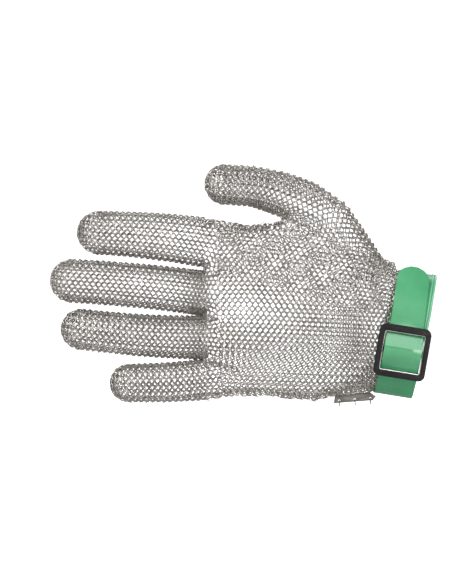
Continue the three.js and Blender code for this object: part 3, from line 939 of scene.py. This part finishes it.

# Slide buckle: a cast frame with a centre bar, enamelled black. The enamel has a fine leathery grain
# and has worn through to bright metal on the front inner edges of the window. That bright metal
# is partly a painted highlight: it stands for the reflection along those chamfers.
window_half = 11.4 * mm
level_slack = 0.05 * mm
buckle_enamel = rubbed_material(
    "buckle_enamel",
    fresh=(0.003, 0.003, 0.003),
    rubbed=(0.008, 0.007, 0.007),
    smooth=0.36,
    dull=0.5,
    metallic=0.0,
    mark_size=85,
    grain=1.0,
    depth=0.35 * mm,
)
buckle_enamel.node_tree.nodes["Principled BSDF"].inputs["Specular IOR Level"].default_value = 0.3
# Bright bare metal for the window's edges: partly wear, partly a painted highlight.
worn_and_highlight_metal = rubbed_material(
    "worn_and_highlight_metal",
    fresh=(0.95, 0.93, 0.9),
    rubbed=(0.7, 0.68, 0.66),
    smooth=0.35,
    dull=0.5,
    metallic=1.0,
    mark_size=260,
    grain=0.5,
    depth=0.02 * mm,
)
buckle = dressed_copy("buckle_frame", "slide_buckle", buckle_enamel, bevel=0.4 * mm, flat=1)
buckle.data.materials.append(worn_and_highlight_metal)


def wear_and_highlight_window_edges(mesh):
    """Marks the window's front edges for bright metal: partly wear, partly a painted highlight."""
    front = max(mesh.polygons, key=lambda face: face.area)
    level = front.center.dot(front.normal)
    middles = []
    for way in (along_forearm, front.normal.cross(along_forearm)):
        reaches = [corner.co.dot(way) for corner in mesh.vertices]
        middles.append((way, (min(reaches) + max(reaches)) / 2))
    weights = mesh.attributes.new("bevel_weight_edge", "FLOAT", "EDGE")
    for edge in mesh.edges:
        ends = [mesh.vertices[number].co for number in edge.vertices]
        on_front = all(abs(end.dot(front.normal) - level) < level_slack for end in ends)
        offsets = [abs(end.dot(way) - middle) for end in ends for way, middle in middles]
        weights.data[edge.index].value = float(on_front and max(offsets) < window_half)


wear_and_highlight_window_edges(buckle.data)
# This bevel lays the bright metal on the marked edges: wear and a painted highlight.
worn_highlight_edge = buckle.modifiers.new("worn_highlight_edge", "BEVEL")
worn_highlight_edge.width = 0.27 * mm
worn_highlight_edge.segments = 2
worn_highlight_edge.limit_method = "WEIGHT"
worn_highlight_edge.material = 1
buckle.modifiers.move(1, 0)
settle(buckle, "buckle_enamel", "slide_buckle")

# Edge strip: a flat strip of brushed steel at the little side of the cuff. Three small rings of wire
# pass through holes in its lower edge.
strip_steel = rubbed_material(
    "strip_steel",
    fresh=(0.19, 0.18, 0.165),
    rubbed=(0.13, 0.12, 0.11),
    smooth=0.34,
    dull=0.48,
    metallic=1.0,
    mark_size=80,
    grain=0.5,
    depth=0.02 * mm,
)
strip = dressed_copy("edge_plate", "edge_strip", strip_steel, bevel=0.12 * mm, flat=1)
settle(strip, "strip_steel", "edge_strip")
for number in (1, 2, 3):
    ring = dressed_copy(f"strip_link_{number}", f"strip_ring_{number}", ring_steel)
    settle(ring, "ring_steel", f"strip_ring_{number}")

# Studio: a pale paper floor that curves up all round, soft lamps, and the camera at the
# photograph's angle.
floor_level = -48 * mm
floor_radius = 2.6
floor_rise = 1.6
floor_steps = 12
floor_sides = 96
paper_white = (0.8, 0.8, 0.8, 1)
air_grey = (0.3, 0.3, 0.3, 1)
white = (1, 1, 1, 1)
glove_middle = (-0.08, 0, 0.02)
camera_place = (-0.0979, -1.784, 0.022)


def floor_ring(shape, step):
    """A ring of the floor's corners, on its flat edge or higher up its curve."""
    rise = math.radians(90) * step / floor_steps
    radius = floor_radius + floor_rise * math.sin(rise)
    height = floor_level + floor_rise * (1 - math.cos(rise))
    turns = [2 * math.pi * side / floor_sides for side in range(floor_sides)]
    corners = [(radius * math.cos(turn), radius * math.sin(turn), height) for turn in turns]
    return [shape.verts.new(corner) for corner in corners]


floor_shape = bmesh.new()
middle = floor_shape.verts.new((0, 0, floor_level))
rings = [floor_ring(floor_shape, step) for step in range(floor_steps + 1)]
for side in range(floor_sides):
    after = (side + 1) % floor_sides
    floor_shape.faces.new((middle, rings[0][side], rings[0][after]))
    for low, high in zip(rings, rings[1:]):
        floor_shape.faces.new((low[side], high[side], high[after], low[after]))
floor_mesh = bpy.data.meshes.new("studio_floor")
floor_shape.to_mesh(floor_mesh)
floor_shape.free()
floor_mesh.shade_smooth()

paper = bpy.data.materials.new("studio_paper")
paper.use_nodes = True
paper_surface = paper.node_tree.nodes["Principled BSDF"].inputs
paper_surface["Base Color"].default_value = paper_white
paper_surface["Roughness"].default_value = 0.9
paper_surface["Emission Color"].default_value = white
seen = add_node(paper.node_tree, "ShaderNodeLightPath").outputs["Is Camera Ray"]
paper.node_tree.links.new(seen, paper_surface["Emission Strength"])
floor_mesh.materials.append(paper)
add_object("studio_floor", floor_mesh)

world = bpy.data.worlds.new("studio_air")
bpy.context.scene.world = world
world.use_nodes = True
air = world.node_tree
seen = add_node(air, "ShaderNodeLightPath").outputs["Is Camera Ray"]
air_colour = add_node(
    air, "ShaderNodeMix", {"Factor": seen, "A": air_grey, "B": white}, data_type="RGBA"
)
air.nodes["Background"].inputs["Strength"].default_value = 1
air.links.new(air_colour.outputs["Result"], air.nodes["Background"].inputs["Color"])

for name, place, aim, size, power in (
    ("key_lamp", (-0.7, -1.0, 1.1), glove_middle, (0.45, 0.45), 14),
    ("front_lamp", (0.12, -1.25, 0.72), (0, 0, 0), (1.2, 0.95), 13),
    ("fill_lamp", (0.65, -1.4, 0.12), glove_middle, (0.5, 0.5), 6),
    ("back_lamp", (0.1, 1.2, 1.2), glove_middle, (0.9, 0.6), 10),
):
    light = bpy.data.lights.new(name, "AREA")
    light.shape = "RECTANGLE"
    light.size, light.size_y = size
    light.energy = power
    lamp = add_object(name, light)
    lamp.location = place
    lamp.rotation_euler = (Vector(aim) - Vector(place)).to_track_quat("-Z", "Y").to_euler()

camera_data = bpy.data.cameras.new("photo_camera")
camera_data.lens = 200
camera_data.clip_end = 20
camera = add_object("photo_camera", camera_data)
camera.location = camera_place
camera.rotation_euler = (math.radians(90), 0, 0)
bpy.context.scene.camera = camera
bpy.context.scene.view_settings.view_transform = "Standard"
